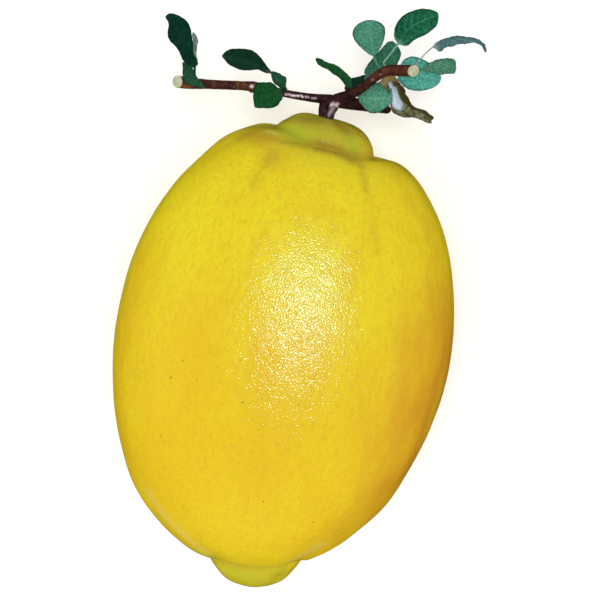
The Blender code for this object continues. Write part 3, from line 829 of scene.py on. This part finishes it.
def make_cut_wood_material():
    material, tree, shader = new_material("cut_wood")
    ring = attribute(tree, "ring")
    cloud = noise_at(tree, object_place(tree), 0.6 * MM, detail=4.0)
    bands = maths(tree, "SINE", times(tree, ring, CUT_WAVES))
    colour = coated(
        tree, mottled(tree, cloud, 0.3, 0.7, (0.30, 0.30, 0.16), (0.47, 0.50, 0.36)),
        (ramp(tree, bands, 0.2, 0.9, 0.0, 0.35), (0.24, 0.23, 0.12)),
        (ramp(tree, ring, 0.82, 0.98), (0.16, 0.10, 0.04)),
        (attribute(tree, "stain"), (0.25, 0.15, 0.05)),
    )
    finish(tree, shader, colour, 0.7, 0.12, cloud, 0.03 * MM)
    return material


# ---------------------------------------------------------------- the fruit
def dents(around, dent_list, width):
    """How deep the furrows or dips in the list are at an angle round the axis."""
    depth = 0.0
    for degrees, deepest in dent_list:
        turn = math.remainder(around - math.radians(degrees), 2 * math.pi)
        depth += deepest * MM * hump(turn, width)
    return depth


def swell(point):
    """Moves a point of the fruit out or in by the swells and hollows near it."""
    core = Vector((0.0, max(-CORE_HALF, min(CORE_HALF, point.y)), 0.0))
    outwards = (point - core).normalized()
    for x, y, z, spread, height in SWELLS:
        away = (point / MM - Vector((x, y, z))).length / spread
        if away < FADED:
            point += outwards * height * MM * hump(away, 1.0)


def fruit_point(direction):
    """The point of the fruit that a unit sphere's point becomes, from the fruit's middle, and
    how near it is to the bottom of the crease round either end, where shade is painted."""
    at_stem = direction.y >= 0.0
    end = NECK if at_stem else NIPPLE
    half = STEM_HALF if at_stem else NIPPLE_HALF
    fullness = STEM_FULLNESS if at_stem else NIPPLE_FULLNESS
    polar = math.acos(min(1.0, abs(direction.y)))
    around = math.atan2(direction.x, direction.z)
    rim = math.asin(end["radius"] / FRUIT_RADIUS)

    if polar < end["share"]:
        turn = rim
        dome = polar / end["share"] * QUARTER
        radius = end["radius"] * math.sin(dome) ** (2 / end["fullness"])
        rise = max(0.0, math.cos(dome)) ** (2 / end["fullness"])
        beyond = 0.0
    else:
        turn = rim + (polar - end["share"]) / (QUARTER - end["share"]) * (QUARTER - rim)
        radius = FRUIT_RADIUS * math.sin(turn)
        rise = 0.0
        beyond = radius - end["radius"]

    fade = smooth_step((FURROW_END - turn) / (FURROW_END - rim))
    furrow = dents(around, end["furrows"], FURROW_WIDTH) * fade
    along = half * max(0.0, math.cos(turn)) ** (2 / fullness)
    along -= end["crease"] * hump(beyond, end["crease_width"])
    along -= furrow * math.cos(turn)
    along += (end["top"] - along) * rise
    radius -= furrow * math.sin(turn) * (1.0 - rise)
    radius -= dents(around, end["dips"], 2 * FURROW_WIDTH) * 4 * rise * (1.0 - rise)

    near = hump(beyond, TIP_REACH)
    across = radius * math.sin(around)
    along += end["slope"] * across * near * (1.0 - rise)
    lean = end["lean"] * (along / half) ** 3
    point = Vector((
        across + lean + end["middle_x"] * near,
        along if at_stem else -along,
        radius * math.cos(around),
    ))
    swell(point)
    return point, hump(beyond - CREASE_LINE_AT, CREASE_LINE_WIDTH) * hump(rise, CREASE_LINE_RISE)


def make_peel(material):
    """The fruit in a fine mesh, with lumps and oil pits in its surface."""
    bm = bmesh.new()
    bmesh.ops.create_uvsphere(bm, u_segments=PEEL_SEGMENTS, v_segments=PEEL_RINGS, radius=1.0)
    (crease,) = float_layers(bm, "painted_crease_shade")
    strokes = stroke_layers(bm, PEEL_STROKES)
    pole_to_y = Quaternion((1.0, 0.0, 0.0), -QUARTER)
    for vert in bm.verts:
        vert.co, vert[crease] = fruit_point(pole_to_y @ vert.co.normalized())
        vert.co.z += AXIS_HEIGHT
    bmesh.ops.recalc_face_normals(bm, faces=bm.faces[:])
    for vert, normal in verts_with_normals(bm):
        place = vert.co.copy()
        pit = noise.voronoi(place / OIL_PITS[0])[0][0]
        height = lump(place, BROAD_LUMPS) + lump(place, SMALL_LUMPS)
        height -= OIL_PITS[1] * hump(pit, PIT_WIDTH)
        vert.co += normal * height
        vert.co.z = max(vert.co.z, 0.0)
        if abs(place.y) > STROKES_BEYOND_Y or place.x > STROKES_BEYOND_X:
            for layer, brush in strokes:
                vert[layer] = brushed(place, brush)
    piece_from(bm, "lemon_peel", [material], "lemon")


# ---------------------------------------------------------------- the twig
def make_stem(name, points):
    """A tapering round stem along the points, as a closed mesh."""
    curve = bpy.data.curves.new(name, "CURVE")
    curve.dimensions = "3D"
    curve.bevel_depth = 1.0
    curve.bevel_resolution = 8
    curve.resolution_u = 12
    curve.use_fill_caps = True
    spline = curve.splines.new("BEZIER")
    spline.bezier_points.add(len(points) - 1)
    for bezier, (x, y, height, diameter) in zip(spline.bezier_points, points):
        bezier.co = over_axis((x, y, height))
        bezier.radius = diameter / 2 * MM
        bezier.handle_left_type = "AUTO"
        bezier.handle_right_type = "AUTO"
    mesh = finished_mesh(new_object(name + "_guide", curve))
    bpy.data.curves.remove(curve)
    return mesh


def stem_lines():
    """Points along each stem's middle in a search tree, with each one's stem, its distance from
    the free end and its radius."""
    marks = []
    for name, points in STEMS.items():
        travelled = 0.0
        for first, last in zip(points, points[1:]):
            start, end = over_axis(first), over_axis(last)
            length = (end - start).length
            steps = max(2, round(length / LINE_STEP))
            for share in (step / steps for step in range(steps)):
                radius = (first[3] + (last[3] - first[3]) * share) / 2 * MM
                marks.append((start.lerp(end, share), name, travelled + length * share, radius))
            travelled += length
    tree = KDTree(len(marks))
    for index, mark in enumerate(marks):
        tree.insert(mark[0], index)
    tree.balance()
    return tree, marks


def stem_under(place, lines):
    """The stem that a point of the bark lies on, and how far along it."""
    tree, marks = lines
    near = tree.find_n(place, 12)
    best = min(near, key=lambda found: found[2] - marks[found[1]][3])
    return marks[best[1]][1:3]


def joined_stems():
    """All stems and buds grown together, as one smooth closed bmesh."""
    bm = bmesh.new()
    for name, points in STEMS.items():
        mesh = make_stem(name, points)
        bm.from_mesh(mesh)
        bpy.data.meshes.remove(mesh)
    bmesh.ops.remove_doubles(bm, verts=bm.verts[:], dist=0.001 * MM)
    for place, radius in BUDS:
        bud = bmesh.ops.create_icosphere(bm, subdivisions=3, radius=radius * MM)
        bmesh.ops.translate(bm, vec=over_axis(place), verts=bud["verts"])
    bmesh.ops.recalc_face_normals(bm, faces=bm.faces[:])
    rough = piece_from(bm, "stems")
    voxels = rough.modifiers.new("grown_together", "REMESH")
    voxels.mode = "VOXEL"
    voxels.voxel_size = BARK_VOXEL
    mesh = finished_mesh(rough)
    grown = bmesh.new()
    grown.from_mesh(mesh)
    bpy.data.meshes.remove(mesh)
    for _ in range(BARK_SMOOTHING):
        bmesh.ops.smooth_vert(grown, verts=grown.verts[:], factor=0.5,
                              use_axis_x=True, use_axis_y=True, use_axis_z=True)
    return grown


def carve_bark(bm, lines):
    """Wrinkles across the stems, long ridges on the stalks, and where each colour of bark lies."""
    warmth, wrinkle, grey = float_layers(bm, "warmth", "wrinkle", "grey_skin_and_sheen")
    strokes = stroke_layers(bm, BARK_STROKES)
    for vert, normal in verts_with_normals(bm):
        place = vert.co.copy()
        name, travelled = stem_under(place, lines)
        height = lump(place, BARK_LUMPS)
        if name in GREY_AND_SHEEN_SHARE:
            width, deep = RIDGES
            ridge = noise.noise(Vector((place.x / width, place.y / RIDGE_LENGTH, place.z / width)))
            height += deep * ridge
            # The ridges' grey is partly painted highlight.
            vert[grey] = GREY_AND_SHEEN_SHARE[name] * between(ridge, 0.0, 0.5)
        else:
            spacing, deep = WRINKLES
            bend = 0.35 * noise.noise(place / (0.9 * MM))
            ring = math.sin(2 * math.pi * (travelled / spacing + bend))
            worn = WRINKLED[name] * between(noise.noise(place / (2.4 * MM)), -0.35, 0.25)
            sharp = max(0.0, ring - 0.55) / 0.45
            height -= deep * sharp * worn
            vert[wrinkle] = 0.8 * sharp * worn
        if name == "left_branch":
            vert[warmth] = between(place.x, -6.0 * MM, -12.0 * MM)
        elif name == "right_branch":
            vert[warmth] = between(place.y, 60.5 * MM, 63.0 * MM)
        for layer, brush in strokes:
            vert[layer] = brushed(place, brush)
        vert.co += normal * height


def split_in_rings(bm, inner, centre):
    """Splits a cut's face into rings round its centre, with a fan in the smallest."""
    for number in range(CUT_RINGS, 0, -1):
        grown = bmesh.ops.extrude_face_region(bm, geom=[inner])["geom"]
        if inner.is_valid:
            bmesh.ops.delete(bm, geom=[inner], context="FACES_ONLY")
        inner = next(part for part in grown if isinstance(part, bmesh.types.BMFace))
        share = number / (number + 1)
        bmesh.ops.scale(bm, vec=(share, share, share), space=Matrix.Translation(-centre),
                        verts=inner.verts[:])
    bmesh.ops.poke(bm, faces=[inner])


def cut_ends(bm):
    """The slanting cuts at both free ends, with a slightly sunken ringed face in each."""
    ring, stain = float_layers(bm, "ring", "stain")
    for place, facing, stain_way, stain_share in CUTS.values():
        middle, outwards = over_axis(place), Vector(facing).normalized()
        near = [f for f in bm.faces if (f.calc_center_median() - middle).length < CUT_REACH]
        edges = {edge for face in near for edge in face.edges}
        verts = {vert for face in near for vert in face.verts}
        cut = bmesh.ops.bisect_plane(
            bm, geom=list(verts) + list(edges) + near, dist=0.002 * MM,
            plane_co=middle, plane_no=outwards, clear_outer=True,
        )
        rim = [part for part in cut["geom_cut"] if isinstance(part, bmesh.types.BMEdge)]
        face = bmesh.ops.holes_fill(bm, edges=rim)["faces"][0]
        centre = face.calc_center_median()
        reach = max((vert.co - centre).length for vert in face.verts)
        split_in_rings(bm, face, centre)
        near_cut = [v for v in bm.verts if abs((v.co - centre).dot(outwards)) < 0.004 * MM
                    and (v.co - centre).length < reach * 1.05]
        for vert in near_cut:
            away = (vert.co - centre).length / reach
            low = (vert.co - centre).dot(Vector(stain_way)) / reach
            vert[ring] = away
            vert[stain] = between(low, 0.35, 0.9) * stain_share
            dish = CUT_DISH * (1.0 - away**4) + CUT_WAVE_HEIGHT * math.sin(away * CUT_WAVES)
            vert.co -= outwards * dish * (away < 0.93)
    for face in bm.faces:
        if face.material_index == 0 and all(v[ring] > 0.0 for v in face.verts):
            face.material_index = 1


def make_twig(bark, cut_wood):
    """The twig's bark with its cut ends. It returns the surface that the leaves stand on."""
    bm = joined_stems()
    carve_bark(bm, stem_lines())
    cut_ends(bm)
    bmesh.ops.recalc_face_normals(bm, faces=bm.faces[:])
    surface = BVHTree.FromBMesh(bm)
    piece_from(bm, "twig_bark", [bark, cut_wood], "twig")
    return surface


# ---------------------------------------------------------------- the leaves
def heading_vector(heading, rise):
    heading = math.radians(heading)
    rise = math.radians(rise)
    return Vector((
        math.cos(heading) * math.cos(rise), math.sin(heading) * math.cos(rise), math.sin(rise),
    ))


def leaf_midrib(leaf, bark):
    """Points and directions from just inside the bark, along a leaf's stalk and midrib to its
    tip, with each one's share of the blade, which is below 0 on the stalk."""
    heading = leaf["heading"]
    stalk_heading = heading if leaf["stalk_heading"] is None else leaf["stalk_heading"]
    blade_rows = LEAF_ROWS - LEAF_STALK_ROWS
    place = over_axis(leaf["base"])
    on_bark, outwards, _, _ = bark.find_nearest(place)
    rows = [(on_bark - outwards * STALK_SUNK, outwards, -LEAF_STALK_ROWS / blade_rows - 0.1)]
    for index in range(LEAF_ROWS + 1):
        share = (index - LEAF_STALK_ROWS) / blade_rows
        if share < 0.0:
            turn = smooth_step((index + 0.5) / (LEAF_STALK_ROWS + 1))
            blade_start = heading - leaf["sweep"] / 2
            way = heading_vector(stalk_heading + (blade_start - stalk_heading) * turn, leaf["rise"])
            step = leaf["stalk"] * MM / LEAF_STALK_ROWS
        else:
            bend = leaf["sweep"] * (share - 0.5) + leaf["hook"] * between(share, 0.72, 1.0)
            way = heading_vector(heading + bend, leaf["rise"])
            step = leaf["length"] * MM / blade_rows
        rows.append((place.copy(), way, share))
        place += way * step
    return rows


def along_midrib(rows, lengths, distance):
    """The smooth place, direction and share of the blade at a distance along the rows."""
    index = 0
    while index < len(lengths) - 1 and distance > lengths[index]:
        distance -= lengths[index]
        index += 1
    (start, start_way, low), (end, end_way, high) = rows[index], rows[index + 1]
    reach = lengths[index]
    t = min(1.0, distance / reach)
    place = glide(start, start_way * reach, end, end_way * reach, t)
    return place, start_way.lerp(end_way, t).normalized(), low + (high - low) * t


def margin_at(margins, share):
    """A margin's smooth distance from the midrib's path at a share of the blade, in metres."""
    index = max(i for i, place in enumerate(MARGIN_PLACES[:-1]) if share >= place)
    low, high = MARGIN_PLACES[index], MARGIN_PLACES[index + 1]
    first, last = margins[index], margins[index + 1]
    before = margins[max(index - 1, 0)]
    after = margins[min(index + 2, len(margins) - 1)]
    t = (share - low) / (high - low)
    return MM * glide(first, (last - before) / 2, last, (after - first) / 2, t)


def leaf_reach(leaf, share):
    """How far the blade's middle lies beside the path, and its half width on each side of it."""
    stalk = leaf["stalk_width"] / 2 * MM
    if share <= 0.0:
        return 0.0, stalk, stalk
    blade = between(share, 0.0, 0.07)
    right, left = margin_at(leaf["right"], share), margin_at(leaf["left"], share)
    middle = 0.8 * (right - left) / 2 * blade
    return (middle, stalk + (max(right - middle, LEAST_HALF) - stalk) * blade,
            stalk + (max(left + middle, LEAST_HALF) - stalk) * blade)


def leaf_side(leaf, half_width, across):
    """Offsets sideways and upwards of a point at -1 to 1 across the blade, which is folded
    along its midrib and curled towards its edges, and the way the blade faces there."""
    fold = math.radians(leaf["fold"])
    curl = math.radians(leaf["curl"])
    widest = math.sin(fold + curl) - math.sin(fold)
    bend = fold + curl * abs(across)
    sideways = (math.sin(bend) - math.sin(fold)) / widest
    upwards = (math.cos(fold) - math.cos(bend)) / widest
    lean = math.copysign(math.sin(bend), across) * between(abs(across), 0.0, 0.15)
    return math.copysign(sideways, across) * half_width, upwards * half_width, -lean, math.cos(bend)


def leaf_veins(leaf, share, across, half_width):
    """How strongly a side vein and the midrib show at a point of the blade, and how far the
    blade bulges between them."""
    if share <= 0.0:
        return 0.0, 0.0, 0.0
    away = abs(across) * half_width
    length = leaf["length"] * MM
    shift = 0.75 * away / length * (1.0 + 0.35 * abs(across))
    phase = (share - shift) * leaf["ribs"] + (0.5 if across > 0.0 else 0.0)
    off = abs(phase - round(phase)) / leaf["ribs"] * length * 0.75
    ends = between(share, 0.02, 0.12) * (1.0 - between(share, 0.9, 1.0))
    side = hump(off, SIDE_VEIN) * (1.0 - abs(across) ** 4) * ends
    middle = hump(away, MIDRIB * (1.15 - share))
    bulge = (1.0 - math.cos(2 * math.pi * phase)) / 2 * (1.0 - across * across)
    return side, middle, (bulge - 0.5) * min(1.0, abs(across) * 4) * ends


def skin_height(leaf, share, thick, veins, blade):
    """How far the skin lies from the middle of the blade's thickness, at -1 below to 1 above:
    its veins stand out below and are sunk above, and it bulges between them."""
    side, middle, bulge = veins
    stalk = min(leaf["stalk_width"], MOST_STALK) * MM
    height = stalk + (LEAF_THICKNESS - stalk) * blade
    height *= 0.5 * math.copysign(abs(thick) ** 0.8, thick)
    if thick < 0.0:
        height -= (0.16 * middle * (1.0 - 0.7 * max(share, 0.0)) + 0.035 * side) * MM * blade
    else:
        height -= (0.07 * middle + 0.03 * side) * MM * blade
    return height + 0.05 * MM * bulge * blade


def withered_marks(share, across, thick, blade):
    """How strongly each of WITHERED_MARKS shows at a point of the withered leaf, in their order."""
    lit = between(thick, -0.1, 0.25)
    rim = max(between(-across, 0.22, 0.50), between(across, 0.85, 0.97)) * blade
    inner = 0.1 + 0.9 * math.sin(math.pi * between(share, 0.05, 0.60)) ** 0.4
    pale_face = (lit * between(share, 0.07, 0.12) * (1.0 - between(share, 0.47, 0.56))
                 * between(across, -0.32 * inner, -0.12 * inner)
                 * (1.0 - between(across, 0.62 * inner, 0.85 * inner)))
    tan_base = 1.0 - between(share, 0.03, 0.13)
    brown_spot = 0.9 * hump(share - 0.16, 0.035) * hump(across + 0.20, 0.22) * lit
    return rim, pale_face, tan_base, brown_spot


def leaf_point(leaf, rows, lengths, direction):
    """The point of a leaf's skin that a unit sphere's point becomes, and how strongly each of
    the leaf's marks shows there, in the order of LEAF_MARKS and then WITHERED_MARKS."""
    seed = Vector(leaf["base"])
    ring = math.acos(max(-1.0, min(1.0, direction.z))) / math.pi
    travel = 0.45 * ring + 0.55 * (1.0 - math.cos(math.pi * ring)) / 2
    place, way, share = along_midrib(rows, lengths, travel * sum(lengths))
    turn = math.atan2(direction.y, direction.x)
    across, thick = math.cos(turn), math.sin(turn)
    if direction.xy.length < 1e-4:
        across, thick = 0.0, 0.0
    blade = between(share, -0.02, 0.14)

    shift, right_half, left_half = leaf_reach(leaf, share)
    half_width = right_half if across > 0.0 else left_half
    sideways, upwards, lean_side, lean_up = leaf_side(leaf, half_width, across)
    veins = leaf_veins(leaf, share, across, half_width)
    height = skin_height(leaf, share, thick, veins, blade)
    ripple = noise.noise(place / RIPPLE + seed) * across * across
    tooth = math.sin(share * leaf["length"] / TOOTH_STEP + seed.x) * between(abs(across), 0.7, 1.0)
    upwards += leaf["wave"] * 2 * MM * ripple * blade
    sideways += shift + math.copysign(leaf["teeth"] * MM * tooth * blade, across)
    side = way.cross(UP).normalized()
    roll = Quaternion(way, math.radians(leaf["roll"]))
    place += roll @ (side * (sideways + lean_side * height)
                     + side.cross(way) * (upwards + lean_up * height))
    marks = (between(-thick, -0.12, 0.12), max(veins[0] * 0.8, veins[1]) * blade,
             between(abs(across), 0.84, 0.97) * blade, 1.0 - blade)
    if leaf["look"] == "withered":
        crumple = (noise.noise(place / (1.6 * MM)), noise.noise(place / (1.9 * MM) + seed),
                   noise.noise(place / (1.3 * MM) - seed))
        place += Vector(crumple) * CRUMPLE * blade
        marks += withered_marks(share, across, thick, blade)
    return place, marks


def make_leaf(name, changes, bark, material):
    """A leaf as one closed skin round its stalk and blade, with veins raised and sunk in it."""
    leaf = {**PLAIN_LEAF, **changes}
    rows = leaf_midrib(leaf, bark)
    lengths = [max(1e-6, (b[0] - a[0]).length) for a, b in zip(rows, rows[1:])]
    bm = bmesh.new()
    bmesh.ops.create_uvsphere(bm, u_segments=LEAF_AROUND, v_segments=LEAF_ALONG, radius=1.0)
    layers = float_layers(bm, *LEAF_MARKS)
    if leaf["look"] == "withered":
        layers += float_layers(bm, *WITHERED_MARKS)
    for vert in bm.verts:
        vert.co, marks = leaf_point(leaf, rows, lengths, vert.co)
        for layer, mark in zip(layers, marks):
            vert[layer] = mark
    bmesh.ops.recalc_face_normals(bm, faces=bm.faces[:])
    piece_from(bm, name + "_blade", [material], name)


def make_leaves(bark):
    group = make_leaf_group()
    materials = {look: make_leaf_material(look, group) for look in LEAF_LOOKS}
    materials["withered"] = make_withered_material()
    for name, changes in LEAVES.items():
        look = changes["look"]
        make_leaf(name, changes, bark, materials[look])


# ---------------------------------------------------------------- floor, light and camera
def make_floor():
    bm = bmesh.new()
    bmesh.ops.create_grid(bm, x_segments=1, y_segments=1, size=2.0)
    material, tree, shader = new_material("pale_floor")
    cloud = noise_at(tree, object_place(tree), 0.2)
    colour = mix_colour(tree, cloud, (0.94, 0.94, 0.94), (0.96, 0.96, 0.96))
    finish(tree, shader, colour, 0.9, 0.1)
    floor = piece_from(bm, "floor", [material])
    floor.visible_glossy = False


def make_light(name, place, target, size, power, height=None, gloss=False, colour=(1, 1, 1)):
    """A soft round light, or with a height a long low one. It gives either the
    gloss or the shading, so that the two can be set apart."""
    lamp = bpy.data.lights.new(name, "AREA")
    lamp.shape = "RECTANGLE" if height else "DISK"
    lamp.size = size
    if height:
        lamp.size_y = height
    lamp.energy = power
    lamp.color = colour
    light = new_object(name, lamp)
    aim = (Vector(target) - Vector(place)).to_track_quat("-Z", "Y")
    light.matrix_world = Matrix.Translation(place) @ aim.to_matrix().to_4x4()
    light.visible_glossy = gloss
    light.visible_diffuse = not gloss


def make_lights():
    world = bpy.data.worlds.new("soft_studio")
    world.use_nodes = True
    give(world.node_tree, world.node_tree.nodes["Background"],
         {"Color": (1.0, 1.0, 1.0), "Strength": SKY_STRENGTH})
    bpy.context.scene.world = world
    world.cycles_visibility.glossy = False
    middle = (0.0, 0.0, 0.03)
    make_light("shine", (0.150, 0.25, 1.05), middle, 0.31, 6.3, gloss=True,
               colour=(0.66, 0.97, 1.0))
    make_light("key", (0.0, 0.20, 1.05), middle, 0.24, 3.5)
    for name, x, y, power in (("left", -0.8, -0.1, 1.5), ("right", 0.8, -0.1, 1.2),
                              ("end", 0.0, -0.8, 2.0)):
        make_light(name + "_fill", (x, y, 0.17), (0.0, 0.0, 0.04), 0.8, power, height=0.26)


def make_camera():
    """Looks down on the fruit from a little beyond its stem end, with its axis leaning right."""
    towards = Vector((0.0, math.sin(CAMERA_TILT), math.cos(CAMERA_TILT)))
    level_up = Vector((0.0, math.cos(CAMERA_TILT), -math.sin(CAMERA_TILT)))
    level_right = Vector((1.0, 0.0, 0.0))
    up = level_up * math.cos(CAMERA_LEAN) - level_right * math.sin(CAMERA_LEAN)
    right = level_right * math.cos(CAMERA_LEAN) + level_up * math.sin(CAMERA_LEAN)
    place = over_axis(CAMERA_TARGET) + towards * CAMERA_DISTANCE
    lens = bpy.data.cameras.new("camera")
    lens.lens = CAMERA_LENS
    lens.sensor_width = 36.0
    camera = new_object("camera", lens)
    camera.matrix_world = Matrix((
        (right.x, up.x, towards.x, place.x), (right.y, up.y, towards.y, place.y),
        (right.z, up.z, towards.z, place.z), (0.0, 0.0, 0.0, 1.0),
    ))
    bpy.context.scene.camera = camera
    bpy.context.scene.view_settings.view_transform = "Standard"


make_camera()
make_lights()
make_floor()
make_peel(make_peel_material())
bark_surface = make_twig(make_bark_material(), make_cut_wood_material())
make_leaves(bark_surface)
